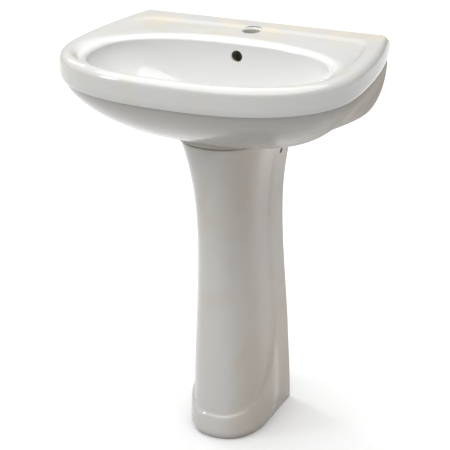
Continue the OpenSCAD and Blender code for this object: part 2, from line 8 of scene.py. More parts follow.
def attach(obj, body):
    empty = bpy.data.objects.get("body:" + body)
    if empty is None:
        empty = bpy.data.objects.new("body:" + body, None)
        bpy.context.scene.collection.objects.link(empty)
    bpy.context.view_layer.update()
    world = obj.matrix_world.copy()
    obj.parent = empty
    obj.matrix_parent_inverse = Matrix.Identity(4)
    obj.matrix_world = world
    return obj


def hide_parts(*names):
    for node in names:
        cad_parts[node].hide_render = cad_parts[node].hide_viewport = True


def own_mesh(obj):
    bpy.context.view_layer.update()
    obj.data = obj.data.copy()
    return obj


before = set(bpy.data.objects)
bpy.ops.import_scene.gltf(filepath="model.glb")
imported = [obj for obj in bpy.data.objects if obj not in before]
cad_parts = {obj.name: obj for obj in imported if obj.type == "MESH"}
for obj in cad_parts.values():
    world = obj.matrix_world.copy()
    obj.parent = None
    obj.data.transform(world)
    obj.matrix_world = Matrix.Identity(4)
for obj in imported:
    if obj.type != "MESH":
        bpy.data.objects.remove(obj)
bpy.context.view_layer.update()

MM = 0.001

# Main sizes of the basin, in millimetres. Its bowl has an edge CREASE_RUN wide and CREASE_R deep.
RIM_H, HALF_W, HALF_D, BACK_W = 835.0, 306.0, 222.5, 275.0
SEAT_Z, DISH_Z, DRAIN_Y, TAP_Y = 655.0, 692.0, 12.5, 161.5
CREASE_Y, CREASE_Z, OVERFLOW_Z = 92.5, 829.0, 797.0
ROLL_R, ROLL_STEP, CREASE_R, CHINA_T = 18.0, 6.3, 11.0, 11.0
CREASE_RUN = 17.0
TAP_R, OVERFLOW_R, WALL_HOLE_X, WALL_HOLE_Z = 17.5, 11.5, 140, 785
BOWL_HALF_W, BOWL_MID_Y, BOWL_FRONT_Y, BOWL_POWER = 238.0, -45.0, -185.5, 2.5
RIM_POWER, RIM_MID_Y, CORNER_R = 2.46, -11.0, 9.0

# Main sizes of the pedestal.
PED_H, PED_BACK, FOOT_FRONT, WAIST_Z = 652.0, 178.5, -46.5, 430.32
FOOT_W, WAIST_W, TOP_W = 77.0, 59.0, 92.0
RIDGE_TOP, RIDGE_H, RIDGE_BACK, SKIRT = 250.0, 50.0, 115.5, 8.0
PED_POWER, WALL_T = 2.27, 10
SCREW_X, SCREW_Y, SIDE_HOLE_Y, SIDE_HOLE_Z = 48, 118.5, 138.5, 594

# Height of the trap's outlet axis.
OUTLET_Z = 550.5

# Points along the front curve, the side, the back corner and the back edge of half an outline.
FRONT, SIDE, CORNER, BACK = 32, 12, 6, 14
HALF = FRONT + SIDE + CORNER + BACK


def mix(a, b, t):
    return a + (b - a) * t


def smooth(t):
    t = min(1.0, max(0.0, t))
    return t * t * (3 - 2 * t)


def spow(v, e):
    return max(0.0, v) ** e


def steps(n, lo=0.0, hi=1.0):
    return [mix(lo, hi, k / n) for k in range(n + 1)]


# ---------- meshes ----------

def mesh_object(name, verts, faces):
    data = bpy.data.meshes.new(name)
    data.from_pydata([(x * MM, y * MM, z * MM) for x, y, z in verts], [], faces)
    data.validate()
    obj = bpy.data.objects.new(name, data)
    bpy.context.scene.collection.objects.link(obj)
    outward(obj)
    return obj


def outward(obj):
    bm = bmesh.new()
    bm.from_mesh(obj.data)
    bmesh.ops.remove_doubles(bm, verts=bm.verts, dist=1e-7)
    bmesh.ops.recalc_face_normals(bm, faces=bm.faces)
    bm.to_mesh(obj.data)
    bm.free()


def loft(name, rings):
    """One closed skin through rings of equal length, flat at both ends."""
    n = len(rings[0])
    verts = [p for r in rings for p in r]
    faces = []
    for k in range(len(rings) - 1):
        for i in range(n):
            j = (i + 1) % n
            faces.append((k * n + i, (k + 1) * n + i, (k + 1) * n + j, k * n + j))
    for k in (0, len(rings) - 1):
        verts.append(tuple(sum(p[a] for p in rings[k]) / n for a in range(3)))
        c = len(verts) - 1
        faces += [(k * n + i, k * n + (i + 1) % n, c) for i in range(n)]
    return mesh_object(name, verts, faces)


def prism(name, outline, along, lo, hi):
    """An outline drawn out along Y or Z between two planes."""
    if along == "z":
        rings = [[(x, y, h) for x, y in outline] for h in (hi, lo)]
    else:
        rings = [[(x, h, z) for x, z in outline] for h in (hi, lo)]
    return loft(name, rings)


def soften(loop, r):
    """Rounds each corner of a closed profile that is sharper than about 30 degrees."""
    out = []
    for i, p in enumerate(loop):
        a, b = loop[i - 1], loop[(i + 1) % len(loop)]
        va, vb = (a[0] - p[0], a[1] - p[1]), (b[0] - p[0], b[1] - p[1])
        la, lb = math.hypot(*va), math.hypot(*vb)
        if p[0] < 1e-6 or la < 1e-6 or lb < 1e-6:
            out.append(p)
            continue
        cosine = -(va[0] * vb[0] + va[1] * vb[1]) / (la * lb)
        if cosine > 0.88:
            out.append(p)
            continue
        d = min(r, 0.4 * la, 0.4 * lb)
        for t in steps(3):
            u, v, w = (1 - t) ** 2, 2 * t * (1 - t), t * t
            x = u * (p[0] + va[0] * d / la) + v * p[0] + w * (p[0] + vb[0] * d / lb)
            z = u * (p[1] + va[1] * d / la) + v * p[1] + w * (p[1] + vb[1] * d / lb)
            out.append((x, z) + tuple(p[2:]))
    return out


def subdivide(loop, step):
    """Puts extra points on the long upright stretches that carry a thread."""
    out = []
    for i, p in enumerate(loop):
        b = loop[(i + 1) % len(loop)]
        out.append(p)
        if len(p) > 2 and len(b) > 2 and p[2] == b[2] and p[2][0] == "thread":
            n = int(abs(b[1] - p[1]) / step)
            for k in range(1, n):
                t = k / n
                fade = min(1.0, 6 * t, 6 * (1 - t))
                word = ("thread", p[2][1], p[2][2] * fade)
                out.append((mix(p[0], b[0], t), mix(p[1], b[1], t), word))
    return out


def radial(p, u):
    """The radius of a profile point at angle u: round, threaded, six-sided or ribbed."""
    r = p[0]
    if len(p) < 3:
        return r
    kind = p[2]
    if kind[0] == "thread":
        phase = p[1] / kind[1] - u / (2 * math.pi)
        return r - kind[2] * (0.5 + 0.5 * math.cos(2 * math.pi * phase)) ** 0.8
    if kind[0] == "hex":
        a = (u + math.pi / 6) % (math.pi / 3) - math.pi / 6
        return min(r, r * math.cos(math.pi / 6) / math.cos(a) + 0.15)
    if kind[0] == "ribs":
        wave = 0.5 + 0.5 * math.cos(kind[1] * u)
        return r + kind[2] * smooth((wave - 0.72) / 0.2)
    return r


def turned(name, loop, segs=96, y=DRAIN_Y, thread_step=0.35, round_r=0.5):
    """A body turned about the upright line through (0, y), from a closed (r, z) profile."""
    pts = subdivide(soften(loop, round_r), thread_step)
    verts, rows = [], []
    for p in pts:
        if p[0] < 1e-6:
            rows.append([len(verts)])
            verts.append((0.0, y, p[1]))
            continue
        rows.append(list(range(len(verts), len(verts) + segs)))
        for k in range(segs):
            u = 2 * math.pi * k / segs
            r = radial(p, u)
            verts.append((r * math.cos(u), y + r * math.sin(u), p[1]))
    faces = []
    for i, a in enumerate(rows):
        b = rows[(i + 1) % len(rows)]
        for k in range(segs):
            j = (k + 1) % segs
            if len(a) == 1 and len(b) == 1:
                break
            if len(a) == 1:
                faces.append((a[0], b[k], b[j]))
            elif len(b) == 1:
                faces.append((a[k], b[0], a[j]))
            else:
                faces.append((a[k], b[k], b[j], a[j]))
    return mesh_object(name, verts, faces)


def move(obj, x, y, z):
    obj.data.transform(Matrix.Translation((x * MM, y * MM, z * MM)))
    return obj


def turn(obj, degrees, axis):
    obj.data.transform(Matrix.Rotation(math.radians(degrees), 4, axis))
    return obj


def lay_over(obj, z, x=0):
    """Turns a body made upright at the origin to run along +Y at height z."""
    return move(turn(obj, -90, "X"), x, 0, z)


def combine(obj, tool, how):
    mod = obj.modifiers.new("join", "BOOLEAN")
    mod.operation = how
    mod.solver = "MANIFOLD"
    mod.object = tool
    seen = obj.evaluated_get(bpy.context.evaluated_depsgraph_get())
    data = bpy.data.meshes.new_from_object(seen)
    obj.modifiers.clear()
    if len(data.polygons) == 0:
        raise RuntimeError("nothing left of " + obj.name + " after " + tool.name)
    obj.data = data
    bpy.data.objects.remove(tool)
    return obj


def cut(obj, tool):
    return combine(obj, tool, "DIFFERENCE")


def add(obj, tool):
    return combine(obj, tool, "UNION")


def shade(obj, angle=38):
    for p in obj.data.polygons:
        p.use_smooth = True
    obj.data.set_sharp_from_angle(angle=math.radians(angle))


def dress(obj, body, nodes, material, angle=38):
    obj.data.materials.clear()
    obj.data.materials.append(material)
    shade(obj, angle)
    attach(obj, body)
    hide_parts(*nodes)
    return obj


# ---------- basin ----------

def mirrored(half):
    return half + [(-x, y, z) for x, y, z in reversed(half[1:-1])]


def d_outline(a, b, front, mid, back, power, rc):
    pts = []
    for u in steps(FRONT, 0, math.pi / 2):
        pts.append((a * spow(math.sin(u), 2 / power),
                    mid - (mid - front) * spow(math.cos(u), 2 / power)))
    for t in steps(SIDE)[1:]:
        s = t * t if a > b else (1 - (1 - t) ** 1.5) * smooth(t / 0.25)
        pts.append((mix(a, b, s), mix(mid, back - rc, t)))
    for u in steps(CORNER, 0, math.pi / 2)[1:]:
        pts.append((b - rc * (1 - math.cos(u)), back - rc * (1 - math.sin(u))))
    for t in steps(BACK)[1:]:
        pts.append(((b - rc) * (1 - t), back))
    return pts


def ring_angle(i):
    if i <= FRONT:
        return math.radians(-90 + 90 * i / FRONT)
    return math.radians(90 * (i - FRONT) / (HALF - FRONT))


def bowl_outline(e):
    out = []
    for i in range(HALF + 1):
        u = ring_angle(i)
        reach = BOWL_MID_Y - BOWL_FRONT_Y if u < 0 else CREASE_Y - BOWL_MID_Y
        side = math.copysign(1, math.sin(u))
        out.append(((BOWL_HALF_W + e) * spow(math.cos(u), 2 / BOWL_POWER),
                    BOWL_MID_Y + side * (reach + e) * spow(abs(math.sin(u)), 2 / BOWL_POWER)))
    return out


def circle_outline(r):
    out = []
    for i in range(HALF + 1):
        u = ring_angle(i)
        out.append((r * math.cos(u), DRAIN_Y + r * math.sin(u)))
    return out


def between(p, q, t):
    return [(mix(a[0], b[0], t), mix(a[1], b[1], t)) for a, b in zip(p, q)]


def level(outline, z):
    return mirrored([(x, y, z) for x, y in outline])


def rim_at(e, back):
    return d_outline(HALF_W - e, BACK_W - 0.6 * e, -HALF_D + e, RIM_MID_Y, HALF_D - back,
                     RIM_POWER, CORNER_R)


def rim_outline(e):
    return rim_at(e, min(e, 5.0))


def roll_h(y):
    return mix(40.0, 55.0, (HALF_D - y) / (2 * HALF_D))


def under_roll(outline, above):
    return mirrored([(x, y, RIM_H - roll_h(y) + above) for x, y in outline])


def top_ring(w):
    """From the crest of the roll (0) to the bowl's crease (1), with the ledge's shallow step."""
    out = []
    for c, m in zip(rim_outline(ROLL_R), bowl_outline(CREASE_RUN)):
        run = math.hypot(m[0] - c[0], m[1] - c[1])
        ledge = 3.0 * smooth((c[1] + (m[1] - c[1]) * w + 20) / 120)
        dip = ledge * smooth((w - 0.33) * run / 14) + (6 - ledge) * w * w
        out.append((mix(c[0], m[0], w), mix(c[1], m[1], w), RIM_H - dip))
    return mirrored(out)


def bowl_ring(t, e):
    s = spow(1 - t ** 1.35, 1 / 1.9)
    return level(between(circle_outline(36 + e), bowl_outline(e), s),
                 mix(CREASE_Z - CREASE_R, DISH_Z, t) - e * t)


def belly_ring(t, e):
    h = spow(1 - t ** 1.38, 1 / 1.77)
    hb = spow(1 - t * t, 1 / 1.87)
    outline = d_outline(mix(126, HALF_W - ROLL_STEP, h) - e,
                        mix(200, BACK_W - 0.6 * ROLL_STEP, hb) - e,
                        mix(0, -HALF_D + ROLL_STEP, h) + e, mix(70, RIM_MID_Y, h),
                        HALF_D - e, RIM_POWER, CORNER_R)
    return mirrored([(x, y, mix(RIM_H - roll_h(y), SEAT_Z + e, t)) for x, y in outline])


def eased(n):
    """Steps from just above 0 to 1, closer together towards 1."""
    return [1 - (1 - k / n) ** 1.6 for k in range(1, n + 1)]


def roll_rings():
    rings = []
    for u in steps(12, 0, math.pi / 2)[:-1]:
        rings.append(level(rim_outline(ROLL_R * (1 - math.sin(u))),
                           RIM_H - ROLL_R * (1 - math.cos(u))))
    rings.append(level(rim_outline(0), RIM_H - ROLL_R))
    for u in steps(12, 0, math.pi / 2):
        inset = (ROLL_STEP - 0.6) * (1 - math.cos(u))
        rings.append(under_roll(rim_at(inset, 0), 16 - 16 * math.sin(u)))
    rings.append(under_roll(rim_at(ROLL_STEP + 0.9, 0), 0.5))
    rings.append(under_roll(rim_at(ROLL_STEP + 1.6, 0), -0.4))
    return rings


def basin_skin():
    seat = circle_outline(33.5)
    rings = [level(seat, DISH_Z - 3.5), level(seat, DISH_Z - 0.8)]
    rings.append(level(circle_outline(34.3), DISH_Z))
    rings += [bowl_ring(t, 0) for t in reversed(eased(30))]
    for u in steps(10, math.pi / 2, 0)[:-1]:
        rings.append(level(bowl_outline(CREASE_RUN * (1 - math.sin(u))),
                           CREASE_Z - CREASE_R * (1 - math.cos(u))))
    rings += [top_ring(1 - k / 26) for k in range(26)]
    rings += roll_rings()
    rings += [belly_ring(t, 1.5 * (1 - smooth(t / 0.14))) for t in [0.015, 0.03] + eased(34)]
    return loft("basin", rings)


def basin_cavity():
    rings = [level(rim_at(ROLL_R, ROLL_R), CREASE_Z - CHINA_T)]
    outline = rim_at(ROLL_STEP + CHINA_T, CHINA_T + 2)
    rings.append(mirrored([(x, y, RIM_H - roll_h(y) - 2) for x, y in outline]))
    rings += [belly_ring(t, CHINA_T) for t in eased(14)]
    hollow = loft("hollow", rings)
    edge = [(-236, 758), (236, 758), (228, 698), (180, 669), (-180, 669), (-228, 698)]
    add(hollow, prism("opening", round_corners(edge, 12), "y", 187.5, 227.5))
    rings = [level(bowl_outline(CREASE_R + CHINA_T), RIM_H - 4),
             level(bowl_outline(CREASE_R + CHINA_T), CREASE_Z - CHINA_T)]
    rings += [bowl_ring(t, CHINA_T) for t in eased(14)]
    return cut(hollow, loft("bowl_back", rings))


def round_corners(outline, r):
    out = []
    for i, p in enumerate(outline):
        a, b = Vector(outline[i - 1]), Vector(outline[(i + 1) % len(outline)])
        p = Vector(p)
        s, e = p + (a - p).normalized() * r, p + (b - p).normalized() * r
        out += [tuple(s.lerp(p, t).lerp(p.lerp(e, t), t)) for t in steps(5)]
    return out


def u_outline(z, e, n=36, m=12):
    """Right half of the pedestal's U at height z, drawn in by e."""
    if z < WAIST_Z:
        c = (1 + math.cos(math.pi * z / WAIST_Z)) / 2
        w, front = mix(WAIST_W, FOOT_W, spow(c, 0.8)), mix(FOOT_FRONT + 6, FOOT_FRONT, c)
    else:
        c = (z - WAIST_Z) / (PED_H - WAIST_Z)
        w, front = mix(WAIST_W, TOP_W, c ** 2.5), mix(FOOT_FRONT + 6, FOOT_FRONT - 10, c * c)
    mid = PED_BACK - 0.54 * (PED_BACK - front)
    w, front = w - e, front + e
    power = 2 / PED_POWER
    pts = [(w * spow(math.sin(u), power), mid - (mid - front) * spow(math.cos(u), power))
           for u in steps(n, 0, math.pi / 2)]
    return pts + [(w, mix(mid, PED_BACK, t)) for t in steps(m)[1:]]


def seat_collar():
    rings = []
    for grown, up in ((12, 20), (9.6, 10), (8, 4), (6.6, 1.4), (4, 0)):
        outline = [(x, min(y, PED_BACK)) for x, y in u_outline(PED_H, -grown)]
        rings.append(level(outline, SEAT_Z + up))
    return loft("collar", rings)


def neck_opening():
    front, r = FOOT_FRONT - 10 + 24, 72.0
    outline = [(r * math.cos(u), front + r + r * math.sin(u))
               for u in steps(24, math.pi, 2 * math.pi)]
    outline += [(r, front + r + 222), (-r, front + r + 222)]
    return prism("neck", outline, "z", SEAT_Z - 10, SEAT_Z + CHINA_T + 10)


def slanted(name, r, past):
    """The overflow's way down behind the bowl."""
    top, foot = Vector((0, CREASE_Y + 16, OVERFLOW_Z + 4)), Vector((0, CREASE_Y - 4, SEAT_Z + 15))
    run = top - foot
    obj = turned(name, [(0, 0), (r, 0), (r, run.length + past), (0, run.length + past)], 40, 0)
    tilt = Matrix.Rotation(-math.atan2(run.y, run.z), 4, "X")
    obj.data.transform(Matrix.Translation(foot * MM) @ tilt)
    return obj


def drain_boss():
    boss = turned("boss", [(0, SEAT_Z), (38, SEAT_Z), (38, 687.5), (0, 687.5)], 72, round_r=1.5)
    w = 15.5
    add(boss, prism("bridge", [(-w, 12.5), (w, 12.5), (w, 102), (-w, 102)], "z", SEAT_Z + 0.3, 683))
    add(boss, slanted("duct_wall", 14.5, 5))
    rings = [level(bowl_outline(0), RIM_H + 5)] + [bowl_ring(t, 0) for t in [0.0] + eased(30)]
    rings += [level(circle_outline(33.5), DISH_Z), level(circle_outline(33.5), 688.5)]
    return cut(boss, loft("bowl_space", rings))


def passages():
    """The water's way from the overflow hole down to the drain."""
    way = slanted("duct", 7.5, 0)
    forward = turned("forward", [(0, 0), (7.5, 0), (7.5, 79), (0, 79)], 40, 0)
    add(way, move(lay_over(forward, 670), 0, DRAIN_Y, 0))
    add(way, turned("chamber", [(0, 662.5), (27, 662.5), (27, 677.5), (0, 677.5)], 72))
    return add(way, turned("drain", [(0, 650), (23, 650), (23, 840), (0, 840)], 96, round_r=0))


def tap_cutter():
    lip = [(TAP_R + 4.8 * (1 - math.cos(u)), 827.2 + 4.8 * math.sin(u))
           for u in steps(10, 0, math.pi / 2)]
    loop = [(0, 805), (TAP_R, 805)] + lip + [(TAP_R + 4.8, 845), (0, 845)]
    return turned("tap_cut", loop, 96, TAP_Y, round_r=0)


def side_cutter(name, r, flare, x, y0, y1, z, flare_at, facing):
    """A round cutter along Y whose edge opens out softly where it meets a face."""
    arc = [(r + flare * (1 - math.cos(u)), flare_at - facing * flare * (1 - math.sin(u)))
           for u in steps(6, 0, math.pi / 2)]
    if facing > 0:
        loop = [(0, y0), (r, y0)] + arc + [(r + flare, y1), (0, y1)]
    else:
        loop = [(0, y1), (r, y1)] + arc + [(r + flare, y0), (0, y0)]
    obj = lay_over(turned(name, loop, 64, 0, round_r=0), z, x)
    outward(obj)
    return obj


def build_basin(material):
    body = basin_skin()
    add(body, seat_collar())
    cut(body, basin_cavity())
    cut(body, neck_opening())
    add(body, drain_boss())
    cut(body, passages())
    cut(body, tap_cutter())
    cut(body, side_cutter("overflow", OVERFLOW_R, 1.6, 0, 70, 108.5, OVERFLOW_Z, 90.6, -1))
    for x in (-WALL_HOLE_X, WALL_HOLE_X):
        cut(body, side_cutter("wall_hole", 7, 1.2, x, 182, 230, WALL_HOLE_Z, HALF_D, 1))
    return dress(body, "sink", ["basin"], material)


# ---------- pedestal ----------

def ridge_z(y):
    a = min(1.0, max(0.0, y - FOOT_FRONT) / (RIDGE_BACK - FOOT_FRONT))
    return mix(RIDGE_TOP, RIDGE_H, math.sqrt(1 - a ** 1.45))


def skirt(y, z):
    """How far the foot's skirt and the side's edge stand out of the plain column."""
    top = ridge_z(y)
    f = min(1.0, z / top)
    swell = math.sin(math.pi / 2 * min(1.0, 3 * f)) * (1 - 0.25 * f * f)
    proud = (SKIRT * swell * (1 - smooth((z - top) / 8)) * (1 - smooth((y - RIDGE_BACK + 45) / 60))
             * (1 - smooth((z - 120) / 130)))
    edge = smooth((z - 140) / 80) * (1 - smooth((z - 560) / 60))
    return proud + 1.3 * smooth((y - 106) / 9) * edge


def pedestal_ring(z, e=0.0):
    p, q = u_outline(z, 0), u_outline(z, -1)
    out = []
    for a, b in zip(p, q):
        d = skirt(a[1], z) - e
        out.append((a[0] + (b[0] - a[0]) * d, min(a[1] + (b[1] - a[1]) * d, PED_BACK), z))
    return mirrored(out)


def pedestal_heights():
    low = [0.9, 2.2, 4, 6.5] + [9 + 3.2 * k for k in range(58)]
    return low + [mix(202, PED_H - 4, k / 52) for k in range(53)]


def build_pedestal(material):
    top = [(PED_H, 3.4), (PED_H - 0.5, 1.9), (PED_H - 1.4, 0.7)]
    rings = [pedestal_ring(z, e) for z, e in top]
    rings += [pedestal_ring(z) for z in reversed(pedestal_heights())]
    rings.append([(x, y, 0.0) for x, y, z in pedestal_ring(0.9, 0.9)])
    body = loft("pedestal", rings)
    inner = []
    for k in range(26, -2, -1):
        z = min(PED_H, max(0.0, k * 27.0))
        outline = [(x, min(y, PED_BACK - WALL_T)) for x, y in u_outline(z, WALL_T)]
        inner.append(level(outline, k * 27.0))
    hollow = loft("hollow", inner)
    slot = round_corners([(-40, 158.5), (40, 158.5), (40, 198.5), (-40, 198.5)], 4)
    add(hollow, prism("slot", slot, "z", -1, PED_H + 1))
    cut(body, hollow)
    for side in (-1, 1):
        lug = round_corners([(36, 104.5), (71, 104.5), (71, 132.5), (36, 132.5)], 5)
        add(body, prism("lug", [(x * side, y) for x, y in lug], "z", 0.02, 16))
        loop = [(0, -1), (4, -1), (4, 15.2), (4.8, 16), (4.8, 20), (0, 20)]
        hole = turned("screw_hole", loop, 40, SCREW_Y, round_r=0)
        cut(body, move(hole, SCREW_X * side, 0, 0))
    bore = turned("side_bore", [(0, -99), (6, -99), (6, 99), (0, 99)], 40, 0, round_r=0)
    cut(body, move(turn(bore, 90, "Y"), 0, SIDE_HOLE_Y, SIDE_HOLE_Z))
    return dress(body, "sink", ["pedestal"], material, 50)


def build_seal(material):
    rings = []
    for z, e in ((655, 4.6), (654.6, 4.1), (653.5, 4.0), (652.4, 4.1), (652, 4.6)):
        rings.append(level([(x, min(y, PED_BACK - 12)) for x, y in u_outline(PED_H, e)], z))
    bead = loft("pedestal_seal", rings)
    hole = [(x, y + (30 if y > PED_BACK - 20 else 0)) for x, y in u_outline(PED_H, 9)]
    cut(bead, loft("seal_hole", [level(hole, 660), level(hole, 648)]))
    return dress(bead, "sink", ["pedestal_seal"], material)


# ---------- waste and plug ----------

def ring_loop(r_out, r_in, lo, hi):
    return [(r_in, lo), (r_out, lo), (r_out, hi), (r_in, hi)]


def build_waste(material):
    tail = ("thread", 2.3, 0.9)
    loop = [(17.5, 592.5), (19.9, 592.5), (20.95, 593.8, tail), (20.95, 660, tail),
            (20.95, 690.5), (30.7, 690.5), (31.5, 691.1), (31.1, 692.1), (29.5, 693.1),
            (24, 693.1), (22.6, 692.3), (17.5, 686)]
    body = turned("waste_body", loop, 120, round_r=0.35)
    for side in (-1, 1):
        x0, x1 = sorted((15.5 * side, 23.5 * side))
        slot = round_corners([(x0, 5.5), (x1, 5.5), (x1, 19.5), (x0, 19.5)], 2)
        cut(body, prism("slot", slot, "z", 664, 676))
    spider = turned("spider", ring_loop(12, 9.05, 652.5, 657.5), 72)
    for degrees in (0, 90, 180, 270):
        arm = prism("arm", [(-18.5, -1.5), (-10, -1.5), (-10, 1.5), (-18.5, 1.5)], "z", 653, 657)
        add(spider, move(turn(arm, degrees, "Z"), 0, DRAIN_Y, 0))
    add(body, spider)
    return dress(body, "sink", ["waste_body"], material)


def build_backnut(material):
    six = ("hex",)
    loop = [(21.1, 637.6), (21.7, 637), (28.6, 637), (30, 638, six), (30, 645.4, six), (31, 646),
            (31, 649), (21.7, 649), (21.1, 648.4)]
    return dress(turned("waste_backnut", loop, 144, round_r=0.5), "sink", ["waste_backnut"],
                 material, 28)


def build_plug(metal, steel, rubber):
    dome = []
    radius = (30 * 30 + 9) / 6
    for k in range(1, 17):
        r = 29.6 * (1 - k / 16)
        dome.append((max(r, 0.0), 702.6 + 3.2 - radius + 3 + math.sqrt(radius ** 2 - r * r) - 0.3))
    loop = [(0, 702.6), (28.8, 702.6), (30, 703.6), (30, 704.8)] + dome
    dress(turned("plug_cap", loop, 120, round_r=0.6), "plug", ["plug_cap"], metal)
    loop = [(4.1, 698.6), (18, 698.6), (20, 700.6), (20.5, 700.6), (20.5, 702.6), (4.1, 702.6)]
    dress(turned("plug_seal", loop, 96, round_r=0.3), "plug", ["plug_seal"], rubber)
    loop = [(0, 636.5), (3.3, 636.5), (4, 637.3), (4, 669.5), (6.6, 669.5), (6.6, 672.5),
            (4, 672.5), (4, 702.6), (0, 702.6)]
    dress(turned("plug_stem", loop, 64, round_r=0.3), "plug", ["plug_stem"], steel)


def build_cartridge(plastic):
    loop = [(4.08, 632.5), (9, 632.5), (9, 657.5), (11.5, 657.5), (11.5, 660), (9, 660),
            (9, 662.5), (6.9, 662.5), (6.9, 641.5), (4.08, 641.5)]
    return dress(turned("plug_cartridge", loop, 72, round_r=0.3), "sink", ["plug_cartridge"],
                 plastic)


def build_spring(steel):
    """A round wire coil whose end turns lie flat."""
    wire, coil, turns, per_turn = 0.55, 5.5, 6.0, 40
    lo, hi = 641.5 + wire, 669.5 - wire
    rings = []
    total = int(turns * per_turn)
    for k in range(total, -1, -1):
        f = k / total
        rise = f - math.sin(2 * math.pi * f) / (2 * math.pi) * 0.55
        a = 2 * math.pi * turns * f
        z = mix(lo, hi, rise)
        ring = []
        for m in range(12):
            b = 2 * math.pi * m / 12
            r = coil + wire * math.cos(b)
            ring.append((r * math.cos(a), DRAIN_Y + r * math.sin(a), z + wire * math.sin(b)))
        rings.append(ring)
    spring = loft("plug_spring", rings)
    dress(spring, "sink", ["plug_spring"], steel)
    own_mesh(spring)
    return spring


def build_gaskets(rubber):
    pieces = (("waste_top_gasket", ring_loop(29.5, 21.1, 688.5, 690.5)),
              ("waste_bottom_washer", [(21.1, 649), (28, 649), (31, 651), (31, 655), (21.1, 655)]),
              ("trap_inlet_seal", ring_loop(20.3, 15, 589.5, 592.5)))
    for name, loop in pieces:
        dress(turned(name, loop, 96, round_r=0.4), "sink", [name], rubber)
    ring = turned("cup_seal", ring_loop(34, 31.3, 527, 529.5), 96, round_r=0.5)
    dress(ring, "cup_lift", ["cup_seal"], rubber)


# ---------- bottle trap ----------

def build_inlet_nut(plastic):
    ribs = ("ribs", 12, 1.9)
    loop = [(19.1, 580.5), (25, 580.5), (25.5, 581.4), (25.5, 583, ribs), (25.5, 603, ribs),
            (25.5, 605.5), (24.6, 607.5), (21.05, 607.5), (21.05, 585.3), (19.1, 585.3)]
    return dress(turned("trap_inlet_nut", loop, 240, round_r=0.6), "sink", ["trap_inlet_nut"],
                 plastic, 30)


def build_head(plastic):
    top = [(34 - 8 + 8 * math.cos(u), 571.5 - 8 + 8 * math.sin(u))
           for u in steps(10, 0, math.pi / 2)]
    coarse = ("thread", 3.0, 0.8)
    loop = [(0, 514.5), (30.2, 514.5), (31, 515.4, coarse), (31, 526.4, coarse), (31, 529.5),
            (34, 529.5)] + top + [(18.8, 571.5), (18.8, 585.5), (20.6, 585.5), (20.6, 589.5),
                                  (0, 589.5)]
    head = turned("trap_head", loop, 120, round_r=0.4)
    fine = ("thread", 2.3, 0.7)
    spout = [(0, 20), (18, 20), (18, 52), (20.5, 52.8, fine), (20.5, 67.2, fine), (19.9, 68),
             (0, 68)]
    side = turned("spout", spout, 96, 0, round_r=0.3)
    add(head, lay_over(side, OUTLET_Z))
    cut(head, turned("inside", [(0, 500), (28, 500), (28, 567.5), (0, 567.5)], 96, round_r=1.5))
    cut(head, turned("throat", [(0, 540), (16.1, 540), (16.1, 600), (0, 600)], 96, round_r=0))
    bore = turned("outlet_bore", [(0, 20), (14.5, 20), (14.5, 90), (0, 90)], 72, 0, round_r=0)
    cut(head, lay_over(bore, OUTLET_Z))
    return dress(head, "sink", ["trap_head"], plastic)


def build_cup(plastic):
    outside = [(25.5 + 10 * math.cos(u), 465 + 10 * math.sin(u))
               for u in steps(10, -math.pi / 2, 0)]
    inside = [(22.3 + 9 * math.cos(u), 467 + 9 * math.sin(u)) for u in steps(10, -math.pi / 2, 0)]
    ribs = ("ribs", 16, 1.1)
    grip = [(35.5, 504), (35.5, 506, ribs), (35.5, 523.5, ribs), (35.5, 525.5), (34.7, 527),
            (31.3, 527)]
    loop = [(0, 455)] + outside + grip + list(reversed(inside)) + [(0, 458)]
    return dress(turned("trap_cup", loop, 256, round_r=0.5), "cup", ["trap_cup"],
                 plastic, 30)


def build_dip_tube(plastic):
    loop = ring_loop(16.0, 14.2, 477.5, 589.5)
    return dress(turned("trap_dip_tube", loop, 72, round_r=0.4), "sink", ["trap_dip_tube"],
                 plastic)


def build_outlet(plastic, rubber):
    ribs = ("ribs", 12, 1.9)
    loop = [(20.6, 54), (24, 54), (24.5, 54.9), (24.5, 56.5, ribs), (24.5, 73.5, ribs),
            (24.5, 75.5), (23.2, 78), (16.3, 78), (16.3, 71.1), (20.6, 71.1)]
    nut = lay_over(turned("trap_outlet_nut", loop, 240, 0, round_r=0.6), OUTLET_Z)
    move(nut, 0, DRAIN_Y, 0)
    dress(nut, "sink", ["trap_outlet_nut"], plastic, 30)
    ring = turned("trap_outlet_seal", ring_loop(20, 16.3, 68, 71), 96, 0, round_r=0.4)
    move(lay_over(ring, OUTLET_Z), 0, DRAIN_Y, 0)
    dress(ring, "sink", ["trap_outlet_seal"], rubber)


# ---------- materials ----------

